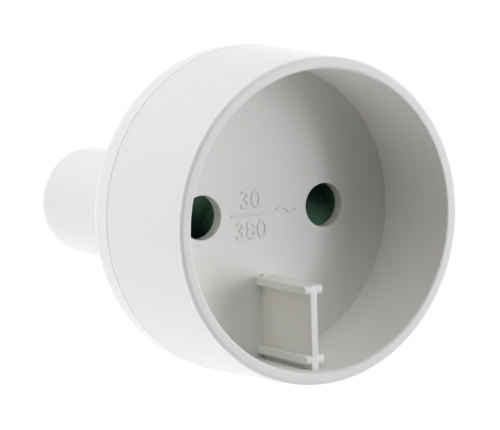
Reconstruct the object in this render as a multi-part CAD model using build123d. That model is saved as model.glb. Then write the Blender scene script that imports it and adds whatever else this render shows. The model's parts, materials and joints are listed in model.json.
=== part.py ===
from build123d import *
from math import asin, degrees, sqrt
import os

# A two-pole cord socket, standing on the flat end of its tail with its mouth up.
# X runs along the line of the two pin holes, the key stands on the -Y side of the recess,
# and the cup's axis is +Z. Depths are measured down from the rim, in millimetres.

# Pins of the plug, and the holes that take them
PIN_SPACING = 19.0
PIN_R = 2.4
PIN_HOLE_GAP = 0.55
PIN_PASSAGE_GAP = 0.6

# Outer shape
HEIGHT = 61.2
PIN_TO_RIM = 11.6
CUP_FLARE = 0.7
RING_H = 3.3
RING_TAPER = 0.2
FUNNEL_SLOPE = 0.58
TAIL_OFFSET = 2.75
TAIL_ROOT_R = 8.45
TAIL_END_R = 7.5
RIM_OUTER_ROUND = 0.45
RIM_INNER_ROUND = 0.3
SHOULDER_ROUND = 1.8
TAIL_ROOT_ROUND = 8.0
TAIL_END_CHAMFER = 0.4
SEAM_CHAMFER = 0.12

# Recess that takes the plug
RIM_WALL = 1.55
RECESS_DRAFT = 0.15
RECESS_DEPTH = 14.0
FLOOR_T = 1.8
SKIRT_WALL = 1.8
SKIRT_DROP = 1.6

# Key: an upright I section on the recess floor, whose web runs on into the cup wall
KEY_SETBACK = 2.5
KEY_TO_WALL = 1.35
KEY_SPAN = 9.1
KEY_WEB_T = 1.05
KEY_FLANGE_W = 3.0
KEY_FLANGE_T = 1.1
KEY_ROUND = 0.4
KEY_EDGE_ROUND = 0.15
KEY_NIB = 0.35

# Shutter: a rotor that both pins push round by its ramps, with opposite slopes
SHUTTER_GAP = 0.2
SHUTTER_H = 6.0
SHUTTER_WALL = 1.2
SHUTTER_COVER = 0.45
SHUTTER_TOE = 0.8
SHUTTER_LAND = 0.9
SHUTTER_CLEAR = 0.1
CHANNEL_GAP = 0.3
RAMP_SKIN = 1.7
PIVOT_R = 2.2
PIVOT_GAP = 0.15
STOP_T = 1.2
STOP_L = 3.4

# Torsion spring of the shutter
SPRING_WIRE_R = 0.25
SPRING_TURNS = 3
SPRING_PITCH = 1.05
SPRING_LEG = 0.7
SPRING_END_GAP = 0.3
SPRING_HOLE_GAP = 0.15

# Rear cover
SPIGOT_GAP = 0.1
SPIGOT_T = 0.9
SPIGOT_H = 1.2
TAIL_WALL = 1.6
END_WALL = 2.0
CORD_HOLE_R = 4.5
CORD_HOLE_CHAMFER = 0.6

# Housing screws, driven from the rear through the cover and the carrier into the posts
POST_INSET = 6.0
POST_R = 2.7
HOUSING_SCREW_R = 1.45
HOUSING_HEAD_R = 2.5
HOUSING_HEAD_H = 1.9
HOUSING_SCREW_GRIP = 5.0
SCREW_PASS_GAP = 0.15
HEAD_PASS_GAP = 0.25
SEAT_T = 1.5
BOSS_WALL = 1.05

# Contact carrier
CARRIER_T = 1.8
CARRIER_GAP = 0.3
PARTITION_T = 1.8
PARTITION_H = 7.0
PARTITION_GAP = 0.6
SADDLE_DROP = 1.8
SADDLE_LENGTH = 3.6
SADDLE_T = 3.0
SADDLE_NOTCH = 0.6
SPINE_PROUD = 1.4
STAKE_R = 0.8
STAKE_OUT = 0.9
STAKE_Y = -5.0
STAKE_PROUD = 0.5

# Brass contacts and their spring clips
CONTACT_T = 0.8
CONTACT_RIM = 1.6
CONTACT_GAP = 0.2
LEG_OUT = 2.9
LEG_LOWER_Y = -6.4
FINGER_T = 0.6
FINGER_ROOT_GAP = 0.35
FINGER_GRIP = 0.1
FINGER_LEAD_IN = 0.5
FINGER_ROOT_H = 2.8
FINGER_NECK_H = 2.4
FINGER_MOUTH_H = 1.8
FINGER_ARC = 90.0
CLIP_T = 0.45
CLIP_H = 2.2
CLIP_ARC = 300.0

# Terminal blocks and their screws
TERMINAL_GAP = 1.7
TERMINAL_Y = -7.6
TERMINAL_W = 5.6
TERMINAL_H = 7.0
TERMINAL_CHAMFER = 0.3
WIRE_HOLE_R = 1.5
WIRE_HOLE_DEPTH = 5.5
TERMINAL_SCREW_R = 1.25
TERMINAL_SCREW_UP = 3.5
TERMINAL_HEAD_R = 2.0
TERMINAL_HEAD_H = 1.5
TERMINAL_HEAD_GAP = 0.7
TERMINAL_SCREW_TIP = 0.3

# Cord clamp
CLAMP_Y = -6.4
CLAMP_T = 2.4
CLAMP_ROUND = 0.8
CLAMP_RIDGE_R = 0.5
CLAMP_SCREW_INSET = 2.0
CLAMP_SCREW_R = 1.2
CLAMP_HEAD_R = 1.75
CLAMP_HEAD_H = 1.2
CLAMP_PASS_GAP = 0.1
CORD_WEB = 0.1

# Recess in a screw head
DRIVE_W = 0.6
DRIVE_DEPTH = 0.8

# Radii and places across the cup that follow from the sizes above
PIN_X = PIN_SPACING / 2
PIN_HOLE_R = PIN_R + PIN_HOLE_GAP
RIM_R = PIN_X + PIN_TO_RIM
RECESS_RIM_R = RIM_R - RIM_WALL
RECESS_FLOOR_R = RECESS_RIM_R - RECESS_DRAFT
SEAM_R = RIM_R + CUP_FLARE
SHOULDER_R = SEAM_R - RING_TAPER
SKIRT_INNER_R = SEAM_R - SKIRT_WALL
COVER_INNER_R = SKIRT_INNER_R - SPIGOT_GAP - SPIGOT_T
KEY_LOWER_Y = KEY_TO_WALL - RECESS_RIM_R
KEY_UPPER_Y = KEY_LOWER_Y + KEY_SPAN
HOUSING_SCREW_Y = SKIRT_INNER_R - POST_INSET
WELL_R = HOUSING_HEAD_R + HEAD_PASS_GAP
PARTITION_Y = HOUSING_SCREW_Y - WELL_R - BOSS_WALL - PARTITION_GAP
TERMINAL_X = PARTITION_T / 2 + TERMINAL_GAP + TERMINAL_W / 2
STAKE_X = PIN_X + STAKE_OUT
FINGER_NECK_R = PIN_R - FINGER_GRIP

# Shutter radii, and the angle that clears the pins
CHANNEL_HALF_W = PIN_HOLE_R + CHANNEL_GAP
CHANNEL_INNER_R = PIN_X - CHANNEL_HALF_W
CHANNEL_OUTER_R = PIN_X + CHANNEL_HALF_W
SHUTTER_R = CHANNEL_OUTER_R + SHUTTER_WALL
PAD_HALF_W = PIN_HOLE_R + SHUTTER_COVER
SHUTTER_TURN = degrees(asin((PAD_HALF_W + PIN_R + SHUTTER_CLEAR) / PIN_X))
BOSS_R = PIVOT_R + PIVOT_GAP + SHUTTER_WALL
POCKET_R = CHANNEL_INNER_R - SHUTTER_WALL
SPRING_R = (BOSS_R + POCKET_R) / 2

# Levels down from the rim
FLOOR_UNDER = RECESS_DEPTH + FLOOR_T
SEAM_DEPTH = FLOOR_UNDER + SKIRT_DROP
SHOULDER_DEPTH = SEAM_DEPTH + RING_H
TAIL_ROOT_DEPTH = SHOULDER_DEPTH + (SHOULDER_R - TAIL_ROOT_R) / FUNNEL_SLOPE
SHUTTER_TOP = FLOOR_UNDER + SHUTTER_GAP
SHUTTER_BOTTOM = SHUTTER_TOP + SHUTTER_H
CARRIER_TOP = SHUTTER_BOTTOM + SHUTTER_GAP
CARRIER_BOTTOM = CARRIER_TOP + CARRIER_T
CONTACT_BOTTOM = CARRIER_BOTTOM + CONTACT_T
TERMINAL_BOTTOM = CONTACT_BOTTOM + TERMINAL_H
HEAD_SEAT = CARRIER_BOTTOM + SEAT_T
PARTITION_DEPTH = CARRIER_BOTTOM + PARTITION_H
SADDLE_DEPTH = TERMINAL_BOTTOM + SADDLE_DROP
SADDLE_END = SADDLE_DEPTH + SADDLE_LENGTH
CLAMP_DEPTH = SADDLE_DEPTH + SADDLE_LENGTH / 2
SIDES = {"left": -1, "right": 1}


def cover_inside(depth):
    """Radius of the cover's inner funnel at a depth, and its shift towards the key side."""
    share = (depth - SHOULDER_DEPTH) / (TAIL_ROOT_DEPTH - SHOULDER_DEPTH)
    end_r = TAIL_ROOT_R - TAIL_WALL
    return COVER_INNER_R + share * (end_r - COVER_INNER_R), share * TAIL_OFFSET


def saddle_half_width():
    """Half of the saddle's width, as far as the cover leaves room beside the clamp."""
    radius, shift = cover_inside(SADDLE_END)
    off_centre = CLAMP_T - CLAMP_Y - shift
    return sqrt(radius ** 2 - off_centre ** 2) - CARRIER_GAP


SADDLE_HALF_W = saddle_half_width()
CLAMP_SCREW_X = SADDLE_HALF_W - CLAMP_SCREW_INSET
CORD_R = CLAMP_SCREW_X - CLAMP_SCREW_R - CORD_WEB
SADDLE_Y = CORD_R - TAIL_OFFSET - SADDLE_NOTCH
SADDLE_BACK_Y = SADDLE_Y + SADDLE_T
SPINE_Y = SADDLE_BACK_Y + SPINE_PROUD


def level(depth):
    """Height above the tail's end of a point at this depth below the rim."""
    return HEIGHT - depth


def disc(radius, top, bottom, x=0.0, y=0.0):
    """Upright cylinder between two depths."""
    return Pos(x, y, level(bottom)) * extrude(Circle(radius), bottom - top)


def block(x_low, x_high, y_low, y_high, top, bottom):
    """Rectangular block between two depths."""
    centre = Pos((x_low + x_high) / 2, (y_low + y_high) / 2, (level(top) + level(bottom)) / 2)
    return centre * Box(x_high - x_low, y_high - y_low, bottom - top)


def turned(points):
    """Body of revolution about the cup's axis, from (radius, depth) points."""
    corners = [(radius, level(depth)) for radius, depth in points]
    return revolve(Plane.XZ * make_face(Polyline(*corners, close=True)), Axis.Z)


def ring_edges(solid, depth, radius):
    """Circular edges at one depth and of one radius."""
    return [
        edge for edge in solid.edges().filter_by(GeomType.CIRCLE)
        if abs(edge.arc_center.Z - level(depth)) < 0.01 and abs(edge.radius - radius) < 0.01
    ]


def screw(shank_r, length, head_r, head_h):
    """Cheese-head screw along +Z, its head's seat at the origin, with a crossed drive recess."""
    head = extrude(Circle(head_r), -head_h)
    head = chamfer(head.edges().group_by(Axis.Z)[0], head_h / 5)
    arm = head_r * 1.3
    recess = Box(arm, DRIVE_W, DRIVE_DEPTH) + Box(DRIVE_W, arm, DRIVE_DEPTH)
    shank = extrude(Circle(shank_r), length)
    shank = chamfer(shank.edges().group_by(Axis.Z)[-1], shank_r / 4)
    return head + shank - Pos(0, 0, DRIVE_DEPTH / 2 - head_h) * recess


def key():
    """I-section key on the recess floor, its edges softened and its flanges rounded in front."""
    foot = RECESS_DEPTH + FLOOR_T / 2
    front = KEY_SETBACK
    top_y = KEY_UPPER_Y + KEY_FLANGE_T / 2
    wall_y = -(RECESS_RIM_R + RIM_R) / 2
    web = block(-KEY_WEB_T / 2, KEY_WEB_T / 2, wall_y, top_y, front, foot)
    web = fillet(web.edges().filter_by(Axis.Y).group_by(Axis.Z)[-1], KEY_EDGE_ROUND)
    nib = block(-KEY_WEB_T / 2, KEY_WEB_T / 2, top_y, top_y + KEY_NIB, RECESS_DEPTH - KEY_NIB, foot)
    flange = Pos(0, 0, (level(front) + level(foot)) / 2) * Box(KEY_FLANGE_W, KEY_FLANGE_T, foot - front)
    flange = fillet(flange.edges().filter_by(Axis.Z), KEY_EDGE_ROUND)
    front_ends = flange.edges().filter_by(Axis.Y).group_by(Axis.Z)[-1]
    flange = fillet(front_ends, KEY_ROUND)
    return web + nib + Pos(0, KEY_UPPER_Y, 0) * flange + Pos(0, KEY_LOWER_Y, 0) * flange


def shutter_seat():
    """Pivot of the shutter, and the ribs that stop it at rest and when it is open."""
    near = PAD_HALF_W + SHUTTER_GAP
    inner = SHUTTER_R - STOP_L
    at_rest = block(inner, SHUTTER_R, near, near + STOP_T, FLOOR_UNDER, SHUTTER_BOTTOM)
    at_open = block(inner, SHUTTER_R, -near - STOP_T, -near, FLOOR_UNDER, SHUTTER_BOTTOM)
    pair = at_rest + Rot(0, 0, -SHUTTER_TURN) * at_open
    pivot = disc(PIVOT_R, FLOOR_UNDER, CARRIER_TOP)
    return pivot + pair + Rot(0, 0, 180) * pair


def socket_body():
    """Cup with its floor, key, shutter guide and screw posts, moulded as one piece."""
    cup = turned([
        (0, RECESS_DEPTH), (RECESS_FLOOR_R, RECESS_DEPTH), (RECESS_RIM_R, 0), (RIM_R, 0),
        (SEAM_R, SEAM_DEPTH), (SKIRT_INNER_R, SEAM_DEPTH), (SKIRT_INNER_R, FLOOR_UNDER),
        (0, FLOOR_UNDER),
    ])
    cup = fillet(ring_edges(cup, 0, RIM_R), RIM_OUTER_ROUND)
    cup = fillet(ring_edges(cup, 0, RECESS_RIM_R), RIM_INNER_ROUND)
    cup = chamfer(ring_edges(cup, SEAM_DEPTH, SEAM_R), SEAM_CHAMFER)
    cup += key() + shutter_seat()
    screw_tip = HEAD_SEAT - HOUSING_SCREW_GRIP - SEAT_T - CARRIER_T
    for y in (-HOUSING_SCREW_Y, HOUSING_SCREW_Y):
        cup += disc(POST_R, FLOOR_UNDER, CARRIER_TOP, 0, y)
        cup -= disc(HOUSING_SCREW_R, screw_tip, CARRIER_TOP, 0, y)
    for side in SIDES.values():
        cup -= disc(PIN_HOLE_R, RECESS_DEPTH, FLOOR_UNDER, side * PIN_X)
    return cup


def shutter_ramp():
    """Ramp under the right pin hole, high on the key side, hollowed from below."""
    top = level(SHUTTER_TOP)
    bottom = level(SHUTTER_BOTTOM)
    slope = (SHUTTER_H - SHUTTER_TOE) / (2 * PAD_HALF_W - SHUTTER_LAND)
    outline = Polyline(
        (PAD_HALF_W, bottom), (PAD_HALF_W, bottom + SHUTTER_TOE), (SHUTTER_LAND - PAD_HALF_W, top),
        (-PAD_HALF_W, top), (-PAD_HALF_W, bottom), close=True,
    )
    hollow_end = SHUTTER_WALL - PAD_HALF_W
    hollow_rise = SHUTTER_TOE - RAMP_SKIN + slope * (PAD_HALF_W - hollow_end)
    hollow = Polyline(
        (hollow_end, bottom), (hollow_end, bottom + hollow_rise),
        (hollow_end + hollow_rise / slope, bottom), close=True,
    )
    wedge = extrude(Plane.YZ * (make_face(outline) - make_face(hollow)), SHUTTER_R)
    channel = disc(CHANNEL_OUTER_R, SHUTTER_TOP, SHUTTER_BOTTOM)
    channel -= disc(CHANNEL_INNER_R, SHUTTER_TOP, SHUTTER_BOTTOM)
    return wedge & channel


def shutter():
    """Rotor with a ramp under each pin hole, between its hub and an outer wall."""
    arms = block(-SHUTTER_R, SHUTTER_R, -PAD_HALF_W, PAD_HALF_W, SHUTTER_TOP, SHUTTER_BOTTOM)
    walls = arms & (disc(SHUTTER_R, SHUTTER_TOP, SHUTTER_BOTTOM)
                    - disc(CHANNEL_OUTER_R, SHUTTER_TOP, SHUTTER_BOTTOM))
    rotor = disc(CHANNEL_INNER_R, SHUTTER_TOP, SHUTTER_BOTTOM)
    pocket = disc(POCKET_R, SHUTTER_TOP + SHUTTER_WALL, SHUTTER_BOTTOM)
    rotor -= pocket - disc(BOSS_R, SHUTTER_TOP + SHUTTER_WALL, SHUTTER_BOTTOM)
    rotor -= disc(PIVOT_R + PIVOT_GAP, SHUTTER_TOP, SHUTTER_BOTTOM)
    rotor -= disc(SPRING_WIRE_R + SPRING_HOLE_GAP, SHUTTER_TOP, SHUTTER_TOP + SHUTTER_WALL, SPRING_R, 0)
    ramp = shutter_ramp()
    return rotor + walls + ramp + Rot(0, 0, 180) * ramp


def shutter_spring():
    """Torsion coil round the shutter's boss, with a leg into the shutter and one into the carrier."""
    low = CARRIER_TOP - SPRING_END_GAP - SPRING_WIRE_R
    height = SPRING_TURNS * SPRING_PITCH
    helix = Helix(pitch=SPRING_PITCH, height=height, radius=SPRING_R)
    wire = Plane(helix @ 0, z_dir=helix % 0) * RegularPolygon(SPRING_WIRE_R, 6)
    coil = Pos(0, 0, level(low)) * sweep(wire, path=helix, is_frenet=True)
    coil += disc(SPRING_WIRE_R, low, CARRIER_TOP + SPRING_LEG, SPRING_R, 0)
    return coil + disc(SPRING_WIRE_R, SHUTTER_TOP + SHUTTER_WALL - SPRING_LEG, low - height, SPRING_R, 0)


def funnel(sections):
    """Straight-sided shell body through circles given as (radius, depth, y)."""
    faces = [Pos(0, y, level(depth)) * Circle(radius) for radius, depth, y in sections]
    return loft(faces, ruled=True)


def rear_cover():
    """Hood that closes the cup and narrows to the off-centre tail, with two screw seats."""
    tail_y = -TAIL_OFFSET
    outer = funnel([
        (SEAM_R, SEAM_DEPTH, 0), (SHOULDER_R, SHOULDER_DEPTH, 0),
        (TAIL_ROOT_R, TAIL_ROOT_DEPTH, tail_y), (TAIL_END_R, HEIGHT, tail_y),
    ])
    outer = fillet(ring_edges(outer, SHOULDER_DEPTH, SHOULDER_R), SHOULDER_ROUND)
    outer = fillet(ring_edges(outer, TAIL_ROOT_DEPTH, TAIL_ROOT_R), TAIL_ROOT_ROUND)
    outer = chamfer(ring_edges(outer, HEIGHT, TAIL_END_R), TAIL_END_CHAMFER)
    outer = chamfer(ring_edges(outer, SEAM_DEPTH, SEAM_R), SEAM_CHAMFER)
    spigot_top = SEAM_DEPTH - SPIGOT_H
    inner = funnel([
        (COVER_INNER_R, spigot_top, 0), (COVER_INNER_R, SHOULDER_DEPTH, 0),
        (TAIL_ROOT_R - TAIL_WALL, TAIL_ROOT_DEPTH, tail_y),
        (TAIL_END_R - TAIL_WALL, HEIGHT - END_WALL, tail_y),
    ])
    spigot_r = SKIRT_INNER_R - SPIGOT_GAP
    hood = outer + disc(spigot_r, spigot_top, SHOULDER_DEPTH) - inner
    hood -= disc(CORD_HOLE_R, HEIGHT - 2 * END_WALL, HEIGHT, 0, tail_y)
    hood = chamfer(ring_edges(hood, HEIGHT, CORD_HOLE_R), CORD_HOLE_CHAMFER)
    for y in (-HOUSING_SCREW_Y, HOUSING_SCREW_Y):
        hood += disc(WELL_R + BOSS_WALL, CARRIER_BOTTOM, TAIL_ROOT_DEPTH, 0, y) & outer
        hood -= disc(WELL_R, HEAD_SEAT, HEIGHT, 0, y)
        hood -= disc(HOUSING_SCREW_R + SCREW_PASS_GAP, CARRIER_BOTTOM, HEAD_SEAT, 0, y)
    return hood


def housing_screw(y):
    """Screw that clamps the cover and the carrier to a post of the socket body."""
    length = HOUSING_SCREW_GRIP + SEAT_T + CARRIER_T
    return Pos(0, y, level(HEAD_SEAT)) * screw(HOUSING_SCREW_R, length, HOUSING_HEAD_R, HOUSING_HEAD_H)


def contact_carrier():
    """Insulating plate under the shutter, with the partition and the saddle of the cord clamp."""
    radius, shift = cover_inside(CARRIER_BOTTOM)
    plate = disc(radius - shift - CARRIER_GAP, CARRIER_TOP, CARRIER_BOTTOM)
    for y in (-HOUSING_SCREW_Y, HOUSING_SCREW_Y):
        plate -= disc(HOUSING_SCREW_R + SCREW_PASS_GAP, CARRIER_TOP, CARRIER_BOTTOM, 0, y)
    root = level(CARRIER_BOTTOM)
    saddle_end = level(SADDLE_END)
    outline = Polyline(
        (-PARTITION_Y, root), (PARTITION_Y, root),
        (PARTITION_Y, level(PARTITION_DEPTH)), (SPINE_Y, level(SADDLE_DEPTH)),
        (SPINE_Y, saddle_end), (SADDLE_Y + SADDLE_T / 2, saddle_end),
        (SADDLE_Y + SADDLE_T / 2, level(PARTITION_DEPTH)), (-PARTITION_Y, level(PARTITION_DEPTH)),
        close=True,
    )
    partition = extrude(Plane.YZ * make_face(outline), PARTITION_T / 2, both=True)
    saddle = block(-SADDLE_HALF_W, SADDLE_HALF_W, SADDLE_Y, SADDLE_BACK_Y, SADDLE_DEPTH, SADDLE_END)
    saddle = fillet(saddle.edges().filter_by(Axis.Z).group_by(Axis.Y)[-1], CLAMP_ROUND)
    end_r, end_shift = cover_inside(SADDLE_END)
    saddle &= disc(end_r - CARRIER_GAP, SADDLE_DEPTH, SADDLE_END, 0, -end_shift)
    carrier = plate + partition + saddle
    carrier -= disc(CORD_R, SADDLE_DEPTH, SADDLE_END, 0, -TAIL_OFFSET)
    carrier -= disc(SPRING_WIRE_R + SPRING_HOLE_GAP, CARRIER_TOP, CARRIER_BOTTOM, SPRING_R, 0)
    for side in SIDES.values():
        carrier -= disc(PIN_R + PIN_PASSAGE_GAP, CARRIER_TOP, CARRIER_BOTTOM, side * PIN_X)
        carrier += disc(STAKE_R, CARRIER_BOTTOM, CONTACT_BOTTOM + STAKE_PROUD, side * STAKE_X, STAKE_Y)
        hole = Rot(-90, 0, 0) * extrude(Circle(CLAMP_SCREW_R), SADDLE_T)
        carrier -= Pos(side * CLAMP_SCREW_X, SADDLE_Y, level(CLAMP_DEPTH)) * hole
    return carrier


def finger():
    """Sprung leaf of a contact, necked to grip the pin, about the pin's own axis."""
    heights = [0, FINGER_ROOT_H, FINGER_ROOT_H + FINGER_NECK_H]
    heights.append(heights[-1] + FINGER_MOUTH_H)
    radii = [PIN_R + FINGER_ROOT_GAP, FINGER_NECK_R, FINGER_NECK_R, PIN_R + FINGER_LEAD_IN]
    inner = [(radius, -height) for radius, height in zip(radii, heights)]
    outer = [(radius + FINGER_T, -height) for radius, height in zip(radii, heights)]
    section = Plane.XZ * make_face(Polyline(*inner, *reversed(outer), close=True))
    return Rot(0, 0, 90 - FINGER_ARC / 2) * revolve(section, Axis.Z, FINGER_ARC)


def contact(side):
    """Brass strip from the terminal to the pin, with two leaves that grip it."""
    pin_x = side * PIN_X
    leg = sorted((side * TERMINAL_X, side * (PIN_X + LEG_OUT)))
    half = TERMINAL_W / 2
    hole_r = PIN_R + CONTACT_GAP
    base = disc(hole_r + CONTACT_RIM, CARRIER_BOTTOM, CONTACT_BOTTOM, pin_x)
    base += block(*leg, LEG_LOWER_Y, 0, CARRIER_BOTTOM, CONTACT_BOTTOM)
    base += block(side * TERMINAL_X - half, side * TERMINAL_X + half, TERMINAL_Y - half,
                  TERMINAL_Y + half, CARRIER_BOTTOM, CONTACT_BOTTOM)
    base -= disc(hole_r, CARRIER_BOTTOM, CONTACT_BOTTOM, pin_x)
    base -= disc(STAKE_R, CARRIER_BOTTOM, CONTACT_BOTTOM, side * STAKE_X, STAKE_Y)
    mouth = CONTACT_BOTTOM + FINGER_ROOT_H + FINGER_NECK_H + FINGER_MOUTH_H
    room_r, shift = cover_inside(mouth)
    room = disc(room_r - CARRIER_GAP, CONTACT_BOTTOM, mouth, 0, -shift)
    for turn in (0, 180):
        base += (Pos(pin_x, 0, level(CONTACT_BOTTOM)) * Rot(0, 0, turn) * finger()) & room
    return base


def contact_clip(side):
    """Steel C-spring round the necks of a contact's two leaves, open towards the outside."""
    inner = FINGER_NECK_R + FINGER_T
    middle = CONTACT_BOTTOM + FINGER_ROOT_H + FINGER_NECK_H / 2
    top = level(middle - CLIP_H / 2)
    low = level(middle + CLIP_H / 2)
    section = Plane.XZ * make_face(Polyline(
        (inner, low), (inner, top), (inner + CLIP_T, top), (inner + CLIP_T, low), close=True,
    ))
    start = (360 - CLIP_ARC) / 2 + (180 if side < 0 else 0)
    return Pos(side * PIN_X, 0, 0) * Rot(0, 0, start) * revolve(section, Axis.Z, CLIP_ARC)


def terminal(side):
    """Brass block with a wire hole from the rear and a tapped hole from the outer side."""
    x = side * TERMINAL_X
    half = TERMINAL_W / 2
    body = block(x - half, x + half, TERMINAL_Y - half, TERMINAL_Y + half, CONTACT_BOTTOM,
                 TERMINAL_BOTTOM)
    body = chamfer(body.edges().group_by(Axis.Z)[0], TERMINAL_CHAMFER)
    body -= disc(WIRE_HOLE_R, TERMINAL_BOTTOM - WIRE_HOLE_DEPTH, TERMINAL_BOTTOM, x, TERMINAL_Y)
    hole = Rot(0, side * 90, 0) * extrude(Circle(TERMINAL_SCREW_R), half)
    return body - Pos(x, TERMINAL_Y, level(CONTACT_BOTTOM + TERMINAL_SCREW_UP)) * hole


def terminal_screw(side):
    """Screw that holds a wire in its terminal, backed out a little."""
    seat_x = TERMINAL_X + TERMINAL_W / 2 + TERMINAL_HEAD_GAP
    length = seat_x - TERMINAL_X - WIRE_HOLE_R + TERMINAL_SCREW_TIP
    body = Rot(0, -side * 90, 0) * screw(TERMINAL_SCREW_R, length, TERMINAL_HEAD_R, TERMINAL_HEAD_H)
    return Pos(side * seat_x, TERMINAL_Y, level(CONTACT_BOTTOM + TERMINAL_SCREW_UP)) * body


def cord_clamp():
    """Bar that presses the cord on its saddle, ridged on the cord's side."""
    bar = block(-SADDLE_HALF_W, SADDLE_HALF_W, CLAMP_Y - CLAMP_T, CLAMP_Y, SADDLE_DEPTH, SADDLE_END)
    bar = fillet(bar.edges().filter_by(Axis.Z).group_by(Axis.Y)[0], CLAMP_ROUND)
    ridge = Rot(0, 90, 0) * extrude(Circle(CLAMP_RIDGE_R), CORD_R / 2, both=True)
    for offset in (-SADDLE_LENGTH / 4, SADDLE_LENGTH / 4):
        bar += Pos(0, CLAMP_Y, level(CLAMP_DEPTH + offset)) * ridge
    for side in SIDES.values():
        spot = Pos(side * CLAMP_SCREW_X, CLAMP_Y - CLAMP_T, level(CLAMP_DEPTH)) * Rot(-90, 0, 0)
        bar -= spot * extrude(Circle(CLAMP_SCREW_R + CLAMP_PASS_GAP), CLAMP_T)
        bar -= spot * extrude(Circle(CLAMP_HEAD_R + CLAMP_PASS_GAP), CLAMP_HEAD_H)
    return bar


def clamp_screw(side):
    """Screw through the bar into the saddle, its head sunk in the bar."""
    seat_y = CLAMP_Y - CLAMP_T + CLAMP_HEAD_H
    length = SADDLE_BACK_Y - seat_y
    body = Rot(-90, 0, 0) * screw(CLAMP_SCREW_R, length, CLAMP_HEAD_R, CLAMP_HEAD_H)
    return Pos(side * CLAMP_SCREW_X, seat_y, level(CLAMP_DEPTH)) * body


def main():
    """Make every piece and write one STEP file for each."""
    pieces = {
        "socket_body": socket_body(),
        "rear_cover": rear_cover(),
        "shutter": shutter(),
        "shutter_spring": shutter_spring(),
        "contact_carrier": contact_carrier(),
        "cord_clamp": cord_clamp(),
        "housing_screw_key_side": housing_screw(-HOUSING_SCREW_Y),
        "housing_screw_far_side": housing_screw(HOUSING_SCREW_Y),
    }
    for name, side in SIDES.items():
        pieces["contact_" + name] = contact(side)
        pieces["contact_clip_" + name] = contact_clip(side)
        pieces["terminal_" + name] = terminal(side)
        pieces["terminal_screw_" + name] = terminal_screw(side)
        pieces["clamp_screw_" + name] = clamp_screw(side)
    os.makedirs("parts", exist_ok=True)
    for name, piece in pieces.items():
        export_step(piece, "parts/" + name + ".step")


main()
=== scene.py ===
# %% [markdown]
# A two-pole cord socket, finished in Blender.
# The pieces come from the CAD model at their real size and place, as a fixed frame.
# The camera, the floor and the lights come first. Then this script adds what the model doesn't
# hold: the moulded finish of every surface, the raised rating mark on the recess floor and a spring
# of round wire.

# %% Load the frame
import json
import math
import bpy
from mathutils import Matrix, Vector


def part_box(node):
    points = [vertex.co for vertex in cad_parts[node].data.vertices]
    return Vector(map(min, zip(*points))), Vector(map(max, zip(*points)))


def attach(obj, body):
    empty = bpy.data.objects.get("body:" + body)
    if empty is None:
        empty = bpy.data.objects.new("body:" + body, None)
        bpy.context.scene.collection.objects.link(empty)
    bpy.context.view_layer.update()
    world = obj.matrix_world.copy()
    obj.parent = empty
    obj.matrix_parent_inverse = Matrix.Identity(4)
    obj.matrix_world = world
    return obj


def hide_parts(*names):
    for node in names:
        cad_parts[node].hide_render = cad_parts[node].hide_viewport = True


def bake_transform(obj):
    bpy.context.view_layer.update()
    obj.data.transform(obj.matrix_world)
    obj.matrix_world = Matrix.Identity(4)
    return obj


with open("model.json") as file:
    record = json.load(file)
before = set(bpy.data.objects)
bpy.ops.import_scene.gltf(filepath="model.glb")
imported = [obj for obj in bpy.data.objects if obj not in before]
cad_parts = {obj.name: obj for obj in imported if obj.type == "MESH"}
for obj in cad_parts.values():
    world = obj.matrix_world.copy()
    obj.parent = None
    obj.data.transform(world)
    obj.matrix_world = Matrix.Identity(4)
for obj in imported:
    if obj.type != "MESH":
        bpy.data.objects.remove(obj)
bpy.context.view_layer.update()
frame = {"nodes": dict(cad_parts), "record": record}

nodes = frame["nodes"]
MM = 0.001

# %% [markdown]
# Most of what follows hangs on two levels, and both are read from the CAD model, so that nothing
# here repeats a height of it by hand. The rim is the top of the body's box. The recess floor lies
# above the middle of the pin hole mount, by half the length of that hole.

# %% Levels of the socket
_, body_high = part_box("socket_body")
RIM_Z = body_high.z
mounts = {mount["name"]: mount for mount in frame["record"]["mounts"]}
pin_hole = mounts["pin_hole_right"]
FLOOR_Z = pin_hole["pos_m"][2] + pin_hole["dims"]["length_mm"] * MM / 2
print("rim at", round(RIM_Z / MM, 2), "mm and recess floor at", round(FLOOR_Z / MM, 2), "mm")

# %% [markdown]
# The camera comes first, because every later choice is judged through it. It looks down into the
# cup from the side of the left pin hole, with a long lens, and it is rolled until the key is at the
# bottom of the picture. Its place is given as a photographer would: a point to aim at, a distance,
# a compass angle, a height angle, a roll and a lens.

# %% Camera
AIM = Vector((-7.76 * MM, 1.1 * MM, RIM_Z - 5.03 * MM))
DISTANCE = 0.4075
AZIMUTH = math.radians(166.13)
ELEVATION = math.radians(57.19)
ROLL = math.radians(-100.16)
LENS = 229.9
CLIP_START = 0.01


def place_camera():
    """Adds the camera at its distance and angles from the aim, turned by the roll."""
    towards = Vector((
        math.cos(ELEVATION) * math.cos(AZIMUTH),
        math.cos(ELEVATION) * math.sin(AZIMUTH),
        math.sin(ELEVATION),
    ))
    level_right = Vector((0, 0, 1)).cross(towards).normalized()
    level_up = towards.cross(level_right)
    up = level_up * math.cos(ROLL) + level_right * math.sin(ROLL)
    right = up.cross(towards)
    axes = Matrix((right, up, towards)).transposed()
    bpy.ops.object.camera_add()
    camera = bpy.context.object
    camera.data.lens = LENS
    camera.data.clip_start = CLIP_START
    camera.matrix_world = Matrix.Translation(AIM + towards * DISTANCE) @ axes.to_4x4()
    bpy.context.scene.camera = camera
    return camera


camera = place_camera()
print("camera at", [round(value, 3) for value in camera.location])

# %% [markdown]
# The photograph has a pure white ground and soft light. A plain floor that glows like a light table
# keeps the ground white without a shadow, and lights the outside of the cup from below. It reflects
# little, so that it stays just white all over, and the hood above it keeps its shape in the light.
# There is no light from the world: the panels below do the rest.
# All light is a little blue, as daylight lamps are. The plastic is a little yellow, so what is lit
# once looks white, and the recess, where light bounces from wall to wall, turns warm.

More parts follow.
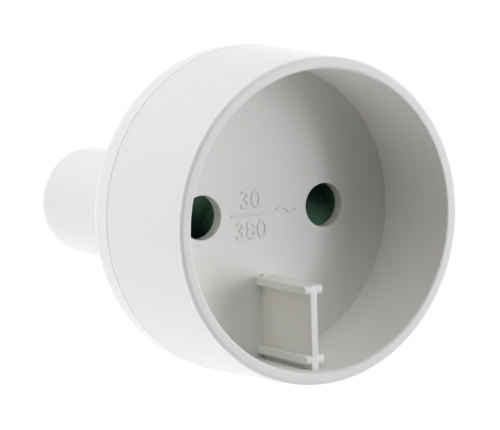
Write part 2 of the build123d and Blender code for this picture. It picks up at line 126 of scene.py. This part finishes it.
# %% Floor
FLOOR_SIZE = 3.0
FLOOR_GLOW = 1.06
FLOOR_GREY = 0.05
FLOOR_ROUGHNESS = 0.9
LAMP_COLOUR = (0.943, 0.953, 1.0)


def add_floor():
    """Adds the white glowing ground, under the tail's end."""
    bpy.ops.mesh.primitive_plane_add(size=FLOOR_SIZE)
    floor = bpy.context.object
    floor.name = "ground"
    paint = bpy.data.materials.new("ground_white")
    paint.use_nodes = True
    shader = paint.node_tree.nodes["Principled BSDF"]
    shader.inputs["Base Color"].default_value = (FLOOR_GREY, FLOOR_GREY, FLOOR_GREY, 1)
    shader.inputs["Roughness"].default_value = FLOOR_ROUGHNESS
    shader.inputs["Emission Color"].default_value = (*LAMP_COLOUR, 1)
    shader.inputs["Emission Strength"].default_value = FLOOR_GLOW
    floor.data.materials.append(paint)


add_floor()
bpy.context.scene.view_settings.view_transform = "Standard"
print("floor is in, glowing", FLOOR_GLOW)

# %% [markdown]
# A product photographer lights such a piece with soft panels, and so does this cell. The key panel
# stands high on the right: the shadows of the cup's wall and of the key fall about two thirds as far
# as these are high, which gives its slope. The edge of the wall's shadow is sharp and that of the
# key's is soft, so it is a flat strip that lies level. A wider panel in the same place is its halo.
# Big panels at the right, behind and in front fill the recess and draw the sides of the cup, and a
# small card stands below the level of the rim on the left, where it lights the outside only. It is
# so near that its mirror image would draw a white line on the rim, so reflections leave it out.
# Each panel is given by its direction from the rim, its distance, its size and its power.

# %% Lights
KEY_SLOPE = Vector((0.72, -0.05, 1.0))
KEY_AWAY = 0.6
KEY_WIDE = 0.3
KEY_TALL = 0.04
FAR = 0.7
WIDE = 0.6
CARD_AWAY = 0.25
CARD_WIDE = 0.05
PANELS = {
    "key_panel": (KEY_SLOPE, KEY_AWAY, KEY_WIDE, 0.4),
    "key_halo": (KEY_SLOPE, KEY_AWAY, KEY_WIDE, 0.6),
    "high_right_panel": (Vector((1.0, 0.3, 0.8)), FAR, WIDE, 2.1),
    "low_right_panel": (Vector((1.0, -0.2, 0.4)), FAR, WIDE, 0.85),
    "low_back_panel": (Vector((0.0, 1.0, 0.3)), FAR, WIDE, 1.45),
    "high_back_panel": (Vector((-0.3, 1.0, 0.8)), FAR, WIDE, 0.86),
    "front_panel": (Vector((0.1, -1.0, 0.3)), FAR, WIDE, 2.1),
    "left_front_panel": (Vector((-0.8, -1.0, 0.3)), FAR, WIDE, 0.56),
    "left_card": (Vector((-1.0, 0.0, -0.1)), CARD_AWAY, CARD_WIDE, 0.15),
}


def add_panel(name, direction, distance, size, power):
    """Square light panel at a distance from the rim, facing it."""
    away = direction.normalized()
    bpy.ops.object.light_add(type="AREA")
    panel = bpy.context.object
    panel.name = name
    panel.data.size = size
    panel.data.energy = power
    panel.data.color = LAMP_COLOUR
    panel.location = Vector((0, 0, RIM_Z)) + away * distance
    panel.rotation_euler = away.to_track_quat("Z", "Y").to_euler()
    return panel


panels = {name: add_panel(name, *values) for name, values in PANELS.items()}
panels["key_panel"].data.shape = "RECTANGLE"
panels["key_panel"].data.size_y = KEY_TALL
panels["left_card"].visible_glossy = False
print("panels", list(panels))

# %% [markdown]
# Shader maths is easier to read as sums than as boxes and wires. This small class wraps one socket
# of a shader tree: plus, minus and times on it add the Math node that does them, and make() adds
# any other node. The settings of a node come before its sockets are filled, because a setting can
# change which sockets it has.

# %% Shader sums


class Wire:
    """An output socket that can be used in sums."""

    def __init__(self, tree, socket=None):
        self.tree = tree
        self.socket = socket

    def make(self, kind, settings=None, inputs=None, output=0):
        """Adds a node: its settings come first, then the values or links of its sockets."""
        node = self.tree.nodes.new(kind)
        for name, value in (settings or {}).items():
            setattr(node, name, value)
        for name, value in (inputs or {}).items():
            if isinstance(value, Wire):
                self.tree.links.new(value.socket, node.inputs[name])
            else:
                node.inputs[name].default_value = value
        return Wire(self.tree, node.outputs[output])

    def math(self, operation, first, second=0.0):
        """Adds the Math node of one operation."""
        return self.make("ShaderNodeMath", {"operation": operation}, {0: first, 1: second})

    def __add__(self, other):
        return self.math("ADD", self, other)

    __radd__ = __add__

    def __sub__(self, other):
        return self.math("SUBTRACT", self, other)

    def __rsub__(self, other):
        return self.math("SUBTRACT", other, self)

    def __mul__(self, other):
        return self.math("MULTIPLY", self, other)

    __rmul__ = __mul__

    def ramp(self, low, high):
        """0 below low, 1 above high and smooth between them."""
        settings = {"interpolation_type": "SMOOTHSTEP"}
        inputs = {"Value": self, "From Min": low, "From Max": high}
        return self.make("ShaderNodeMapRange", settings, inputs)


print("shader sums are ready")

# %% [markdown]
# Every finish below is built in the same way. Noises read the place of a point on the piece and
# give its clouds, its grain or its lines. One of them mixes two close tones, and then the colour,
# the roughness and the relief go to the shader.

# %% Parts of a finish
CLOUDY = 2.0
FINE = 3.0
PLAIN = 1.0


def new_material(name):
    """Empty material with its shader and a first wire."""
    material = bpy.data.materials.new(name)
    material.use_nodes = True
    tree = material.node_tree
    shader = tree.nodes["Principled BSDF"]
    return material, shader, Wire(tree)


def place(wire):
    """Object coordinates as a vector wire and its three parts."""
    spot = wire.make("ShaderNodeTexCoord", output="Object")
    parts = [wire.make("ShaderNodeSeparateXYZ", {}, {0: spot}, axis) for axis in range(3)]
    return spot, parts


def noise(wire, spot, lump, detail=CLOUDY):
    """Value of a noise whose lumps are so wide."""
    inputs = {"Vector": spot, "Scale": 1 / lump, "Detail": detail}
    return wire.make("ShaderNodeTexNoise", {}, inputs)


def two_tones(wire, mask, light, dark):
    """Colour that is light where the mask is 0 and dark where it is 1."""
    # A Mix node set to colours has the mask at 0, the colours at 6 and 7 and the result at 2.
    return wire.make("ShaderNodeMix", {"data_type": "RGBA"}, {0: mask, 6: light, 7: dark}, 2)


def bump(wire, height, distance):
    """Normal that a height gives, in metres of relief."""
    return wire.make("ShaderNodeBump", {}, {"Height": height, "Distance": distance})


def feed(shader, colour, roughness, normal):
    """Links to the shader what changes over the surface."""
    for value, socket in ((colour, "Base Color"), (roughness, "Roughness"), (normal, "Normal")):
        value.tree.links.new(value.socket, shader.inputs[socket])


print("parts of a finish are ready")

# %% [markdown]
# The housing is injection moulded in a pale grey-white plastic. The outside comes off a polished
# tool, so it is glossy with a very faint unevenness. The recess comes off a spark-eroded tool, so
# it is satin with a fine grain. One material holds both, and the radius and the height of a point
# say which tool it came off. A little light goes into the plastic, which softens its shadows.

# %% Housing plastic
PALE = (0.86, 0.852, 0.81, 1)
PALE_WARM = (0.84, 0.83, 0.785, 1)
PALE_CLOUD = 18 * MM
GLOSS_ROUGHNESS = 0.2
SATIN_ROUGHNESS = 0.42
GRAIN_ROUGHNESS = 0.05
RECESS_R = 19.6 * MM
RECESS_FADE = 0.4 * MM
FLOOR_FADE_FROM = 0.6 * MM
FLOOR_FADE_TO = 0.1 * MM
RIM_FADE_FROM = 1.2 * MM
RIM_FADE_TO = 0.4 * RIM_FADE_FROM
POLISH_WAVE = 4 * MM
SPARK_GRAIN = 0.12 * MM
GRAIN_HEIGHT = 0.5
WAVE_HEIGHT = 0.6
HOUSING_RELIEF = 0.012 * MM
PLASTIC_IOR = 1.5
LIGHT_INSIDE = 0.12
LIGHT_DEPTH = 1.0 * MM


def housing_plastic(name):
    """Glossy outside, satin recess and rim."""
    material, shader, wire = new_material(name)
    spot, (x, y, z) = place(wire)
    radius = wire.math("SQRT", x * x + y * y)
    inside = 1 - radius.ramp(RECESS_R, RECESS_R + RECESS_FADE)
    recess = inside * z.ramp(FLOOR_Z - FLOOR_FADE_FROM, FLOOR_Z - FLOOR_FADE_TO)
    satin = wire.math("MAXIMUM", recess, z.ramp(RIM_Z - RIM_FADE_FROM, RIM_Z - RIM_FADE_TO))
    cloud = noise(wire, spot, PALE_CLOUD)
    grain = noise(wire, spot, SPARK_GRAIN, FINE)
    wave = noise(wire, spot, POLISH_WAVE, PLAIN)
    colour = two_tones(wire, cloud, PALE, PALE_WARM)
    roughness = GLOSS_ROUGHNESS + satin * (SATIN_ROUGHNESS - GLOSS_ROUGHNESS)
    relief = satin * grain * GRAIN_HEIGHT + (1 - satin) * wave * WAVE_HEIGHT
    feed(shader, colour, roughness + grain * GRAIN_ROUGHNESS, bump(wire, relief, HOUSING_RELIEF))
    shader.inputs["IOR"].default_value = PLASTIC_IOR
    shader.inputs["Subsurface Weight"].default_value = LIGHT_INSIDE
    shader.inputs["Subsurface Scale"].default_value = LIGHT_DEPTH
    return material


body_plastic = housing_plastic("body_plastic")
cover_plastic = housing_plastic("cover_plastic")
print("housing plastic made")

# %% [markdown]
# The shutter is a dark green piece with a satin moulded face. Its green is nearly black in the
# shade of the pin holes, so its colour is set richer than it seems in the picture. The same kind of
# plastic, off-white, makes the carrier of the contacts later.

# %% Shutter plastic
GREENS = ((0.105, 0.25, 0.165, 1), (0.085, 0.2, 0.13, 1))
GREEN_LUMPS = (3 * MM, 0.2 * MM)
GREEN_ROUGHNESS = (0.45, 0.12)
GREEN_RELIEF = 0.006 * MM


def grained_plastic(name, tones, lumps, roughness, relief):
    """Plastic of two tones. Lumps are its cloud and its grain, which makes it a little rougher."""
    material, shader, wire = new_material(name)
    spot, _ = place(wire)
    cloud = noise(wire, spot, lumps[0])
    grain = noise(wire, spot, lumps[1], FINE)
    dullness = roughness[0] + grain * roughness[1]
    feed(shader, two_tones(wire, cloud, *tones), dullness, bump(wire, grain, relief))
    return material


green_plastic = grained_plastic(
    "shutter_plastic", GREENS, GREEN_LUMPS, GREEN_ROUGHNESS, GREEN_RELIEF)
print("shutter plastic made")

# %% [markdown]
# The inner pieces are off-white plastic, brass and plated steel. The brass contacts show in the pin
# holes when the shutter is turned aside, and the rest is hardly seen, but each has its own finish.
# Drawn metal has fine lines, which a noise squeezed by a Mapping node gives. The screws are plated,
# so their noise isn't squeezed and gives an even grain.

# %% Finishes of the inner pieces
CREAMS = ((0.74, 0.72, 0.66, 1), (0.68, 0.66, 0.6, 1))
CREAM_LUMPS = (8 * MM, 0.15 * MM)
CREAM_ROUGHNESS = (0.55, 0.1)
CREAM_RELIEF = 0.01 * MM
BRASSES = ((0.8, 0.58, 0.27, 1), (0.7, 0.48, 0.2, 1))
PLATED_STEELS = ((0.72, 0.73, 0.75, 1), (0.6, 0.61, 0.63, 1))
SPRING_STEELS = ((0.6, 0.6, 0.62, 1), (0.48, 0.48, 0.5, 1))
LINE_LUMP = 0.5 * MM
LINE_ROUGHNESS = 0.15
LINE_RELIEF = 0.004 * MM


def metal(name, tones, roughness, squeeze):
    """Metal of two tones, with lines across the axis that the noise is squeezed along."""
    material, shader, wire = new_material(name)
    spot, _ = place(wire)
    squeezed = wire.make("ShaderNodeMapping", {}, {"Vector": spot, "Scale": squeeze})
    lines = noise(wire, squeezed, LINE_LUMP, FINE)
    dullness = roughness + lines * LINE_ROUGHNESS
    feed(shader, two_tones(wire, lines, *tones), dullness, bump(wire, lines, LINE_RELIEF))
    shader.inputs["Metallic"].default_value = 1.0
    return material


finishes = {
    "body_plastic": body_plastic,
    "cover_plastic": cover_plastic,
    "shutter_plastic": green_plastic,
    "carrier_plastic": grained_plastic(
        "carrier_plastic", CREAMS, CREAM_LUMPS, CREAM_ROUGHNESS, CREAM_RELIEF),
    "contact_brass": metal("contact_brass", BRASSES, 0.25, (1, 1, 6)),
    "screw_steel": metal("screw_steel", PLATED_STEELS, 0.28, (1, 1, 1)),
    "spring_steel": metal("spring_steel", SPRING_STEELS, 0.2, (6, 6, 1)),
}
for piece in frame["record"]["subparts"]:
    slots = nodes[piece["node"]].data.materials
    slots.clear()
    slots.append(finishes[piece["material_slot"]])
print("finishes given to", len(nodes), "pieces")

# %% [markdown]
# The recess floor carries a raised rating mark between the pin holes: a number over a bar, a number
# under it and a wave beside it. Here they are plain figures of the same size, place and relief.
# The mark is so low that it shows only by the light on its edges, so each edge is rounded. Figures
# of curved strokes are taken, because the light comes from one side: it draws a curve all round,
# but a straight stroke in line with the light hardly shows. These helpers serve the mark and the
# spring.

# %% Helpers for new pieces
MERGE_WITHIN = 0.001 * MM


def deselect():
    """Leaves nothing selected, in object mode."""
    if bpy.context.object and bpy.context.object.mode != "OBJECT":
        bpy.ops.object.mode_set(mode="OBJECT")
    bpy.ops.object.select_all(action="DESELECT")


def settle(piece):
    """Puts a piece's place into its mesh and leaves the object at the origin."""
    deselect()
    piece.select_set(True)
    bpy.context.view_layer.objects.active = piece
    bpy.ops.object.transform_apply(location=True, rotation=True, scale=True)
    return piece


def close_up(turn_faces=True):
    """Merges the points that lie on one another and, if wanted, turns every face outwards."""
    bpy.ops.object.mode_set(mode="EDIT")
    bpy.ops.mesh.select_mode(type="VERT")
    bpy.ops.mesh.select_all(action="SELECT")
    bpy.ops.mesh.remove_doubles(threshold=MERGE_WITHIN)
    if turn_faces:
        bpy.ops.mesh.normals_make_consistent(inside=False)
    bpy.ops.object.mode_set(mode="OBJECT")


def select_points(piece, wanted):
    """In edit mode, selects the points whose place answers wanted."""
    bpy.ops.object.mode_set(mode="EDIT")
    bpy.ops.mesh.select_mode(type="VERT")
    bpy.ops.mesh.select_all(action="DESELECT")
    bpy.ops.object.mode_set(mode="OBJECT")
    for point in piece.data.vertices:
        point.select = wanted(point.co)
    bpy.ops.object.mode_set(mode="EDIT")


def push(x=0.0, y=0.0, z=0.0):
    """Extrudes what is selected by so much along each axis."""
    bpy.ops.mesh.extrude_region_move(TRANSFORM_OT_translate={"value": (x, y, z)})


print("helpers are ready")

# %% [markdown]
# Figures start as text. It is given its thickness and a rounded edge while it is a curve, where that
# is one number each, and is then made a mesh and set on the floor. It goes into the floor as deep as
# its edge is round, which hides the rounding at its foot. The rounding also makes each stroke wider
# by its own size, and the offset takes that off again, but for what the figures are to be bolder.

# %% Raised figures
MARK_RELIEF = 0.14 * MM
MARK_ROUND = 0.1 * MM
MARK_ROOT = MARK_ROUND
MARK_SMOOTH = math.radians(35)
BOLDER = 0.07 * MM
FIGURE_H = 2.35 * MM
CAP_SHARE = 0.7
ROUND_STEPS = 2
CURVE_STEPS = 6
MARK_X = -2.0 * MM
UPPER_Y = 0.65 * MM
LOWER_Y = -3.4 * MM


def figures(text, base_y):
    """Raised figures, centred on the mark, standing on a line at base_y."""
    deselect()
    bpy.ops.object.text_add(location=(MARK_X, base_y, FLOOR_Z - MARK_ROOT))
    piece = bpy.context.object
    piece.name = "figures_" + text
    piece.data.body = text
    piece.data.align_x = "CENTER"
    piece.data.size = FIGURE_H / CAP_SHARE
    piece.data.extrude = (MARK_RELIEF + MARK_ROOT) / 2 - MARK_ROUND
    piece.data.bevel_depth = MARK_ROUND
    piece.data.bevel_resolution = ROUND_STEPS
    piece.data.offset = BOLDER - MARK_ROUND
    piece.data.resolution_u = CURVE_STEPS
    bpy.ops.object.convert(target="MESH")
    piece = bpy.context.object
    piece.location.z -= min(point.co.z for point in piece.data.vertices)
    settle(piece)
    close_up(turn_faces=False)
    bpy.ops.object.shade_smooth_by_angle(angle=MARK_SMOOTH)
    return piece


upper_figures = figures("30", UPPER_Y)
lower_figures = figures("380", LOWER_Y)
print("figures", [round(value / MM, 2) for value in upper_figures.dimensions], "mm")

# %% [markdown]
# The bar and the wave are strips of one width. Each could be a curve, but a strip that is extruded
# step by step shows how a hand modeller follows a line: the end edge is pushed to the next point
# and turned to lie across the line there. The flat strip is then raised, and its edges are rounded.

# %% Bar and wave
STROKE = 0.38 * MM
STROKE_ROUND_STEPS = 3
BAR_Y = -0.25 * MM
BAR_FROM = -5.2 * MM
BAR_TO = 1.4 * MM
WAVE_Y = 0.0
WAVE_FROM = 1.9 * MM
WAVE_TO = 5.1 * MM
WAVE_RISE = 0.36 * MM
WAVE_STEPS = 24


def turn_edge(turn, centre):
    """Turns what is selected, counterclockwise seen from above."""
    # With no window this operator turns the other way, so the angle is given as a negative one.
    bpy.ops.transform.rotate(value=-turn, orient_axis="Z", center_override=(*centre, FLOOR_Z))


def first_edge(name, spot, slope):
    """New piece that is one edge, as long as a stroke is wide, across the line at its start."""
    deselect()
    bpy.ops.mesh.primitive_plane_add(size=STROKE, location=(*spot, FLOOR_Z - MARK_ROOT))
    piece = settle(bpy.context.object)
    piece.name = name
    select_points(piece, lambda point: point.x > spot[0])
    bpy.ops.mesh.delete(type="VERT")
    bpy.ops.mesh.select_all(action="SELECT")
    bpy.ops.transform.translate(value=(STROKE / 2, 0, 0))
    turn_edge(slope, spot)
    return piece


def round_edges(piece):
    """Rounds all edges of a piece and shades it smooth."""
    rounding = piece.modifiers.new("rounding", "BEVEL")
    rounding.width = MARK_ROUND
    rounding.segments = STROKE_ROUND_STEPS
    bpy.ops.object.modifier_apply(modifier="rounding")
    bpy.ops.object.shade_smooth_by_angle(angle=MARK_SMOOTH)


def strip(name, line, steps):
    """Raised strip that follows line, which gives a point for each share of its length."""
    spots = [line(step / steps) for step in range(steps + 1)]
    moves = [(end[0] - start[0], end[1] - start[1]) for start, end in zip(spots, spots[1:])]
    slopes = [math.atan2(y, x) for x, y in moves]
    piece = first_edge(name, spots[0], slopes[0])
    for spot, move, slope, last_slope in zip(spots[1:], moves, slopes, slopes[:1] + slopes):
        push(*move)
        turn_edge(slope - last_slope, spot)
    bpy.ops.mesh.select_all(action="SELECT")
    push(z=MARK_RELIEF + MARK_ROOT)
    close_up()
    round_edges(piece)
    return piece


def bar_line(share):
    """Straight line between the two numbers."""
    return BAR_FROM + share * (BAR_TO - BAR_FROM), BAR_Y


def wave_line(share):
    """One wave from left to right, starting with its crest."""
    rise = WAVE_RISE * math.sin(2 * math.pi * share)
    return WAVE_FROM + share * (WAVE_TO - WAVE_FROM), WAVE_Y + rise


bar = strip("mark_bar", bar_line, 1)
wave = strip("mark_wave", wave_line, WAVE_STEPS)
for mark in (bar, wave):
    print(mark.name, len(mark.data.polygons), "faces")

# %% [markdown]
# The shutter's torsion spring is a coil of round wire with a leg at each end: the lower one stands
# in the contact carrier and the upper one in the shutter. The CAD model has a plain six-sided wire,
# and here it is round. A ring of points is wound up by a Screw modifier, as a lathe winds a spring,
# and the two end rings are then bent and pushed out as legs. The coil is drawn in place of the CAD
# spring, which is hidden.

# %% Torsion spring
spring_low, spring_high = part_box("shutter_spring")
WIRE_R = 0.25 * MM
WIRE_SIDES = 12
SPRING_R = spring_high.x - WIRE_R
SPRING_TURNS = 3
SPRING_PITCH = 1.05 * MM
STEPS_PER_TURN = 30
LEG_BEND_R = 0.6 * MM
LEG_BEND_STEPS = 6
LOWER_LEG = 1.0 * MM
COIL_LOW = spring_low.z + LOWER_LEG + WIRE_R
COIL_HIGH = COIL_LOW + SPRING_TURNS * SPRING_PITCH
COIL_SMOOTH = math.radians(50)
LEG_TURN = LEG_BEND_R / SPRING_R
END_REACH = 1.2 * WIRE_R
END_SLACK = 0.01


def wind_coil():
    """Round wire wound about the cup's axis, which stops short where its legs are bent."""
    deselect()
    start = (SPRING_R * math.cos(LEG_TURN), SPRING_R * math.sin(LEG_TURN), COIL_LOW)
    bpy.ops.mesh.primitive_circle_add(
        vertices=WIRE_SIDES, radius=WIRE_R, location=start, rotation=(math.pi / 2, 0, LEG_TURN))
    coil = settle(bpy.context.object)
    coil.name = "shutter_coil"
    winding = coil.modifiers.new("winding", "SCREW")
    winding.angle = 2 * math.pi - 2 * LEG_TURN / SPRING_TURNS
    winding.screw_offset = SPRING_PITCH
    winding.iterations = SPRING_TURNS
    winding.steps = winding.render_steps = STEPS_PER_TURN
    bpy.ops.object.modifier_apply(modifier="winding")
    return coil


def bend_leg(coil, side, leg_end):
    """Bends the lower (side -1) or upper (1) end ring upright, to leg_end, and closes it."""
    height = COIL_LOW if side < 0 else COIL_HIGH
    end_turn = -side * LEG_TURN
    select_points(coil, lambda point: abs(point.z - height) < END_REACH
                  and abs(math.atan2(point.y, point.x) - end_turn) < END_SLACK)
    outward = Vector((math.cos(end_turn), math.sin(end_turn), 0))
    middle = outward * SPRING_R + Vector((0, 0, height + side * LEG_BEND_R))
    bpy.ops.mesh.spin(steps=LEG_BEND_STEPS, angle=-math.pi / 2, center=middle, axis=outward)
    push(z=leg_end - middle.z)
    bpy.ops.mesh.edge_face_add()
    bpy.ops.object.mode_set(mode="OBJECT")


coil = wind_coil()
bend_leg(coil, -1, spring_low.z)
bend_leg(coil, 1, spring_high.z)
close_up()
bpy.ops.object.shade_smooth_by_angle(angle=COIL_SMOOTH)
coil.data.materials.append(finishes["spring_steel"])
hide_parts("shutter_spring")
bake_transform(coil)
coil_heights = [point.co.z / MM for point in coil.data.vertices]
print("coil", len(coil.data.polygons), "faces, from", round(min(coil_heights), 2), "to",
      round(max(coil_heights), 2), "mm, radius", round(SPRING_R / MM, 2))

# %% Finish
for piece in (upper_figures, lower_figures, bar, wave):
    piece.data.materials.clear()
    piece.data.materials.append(body_plastic)
    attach(piece, "housing")
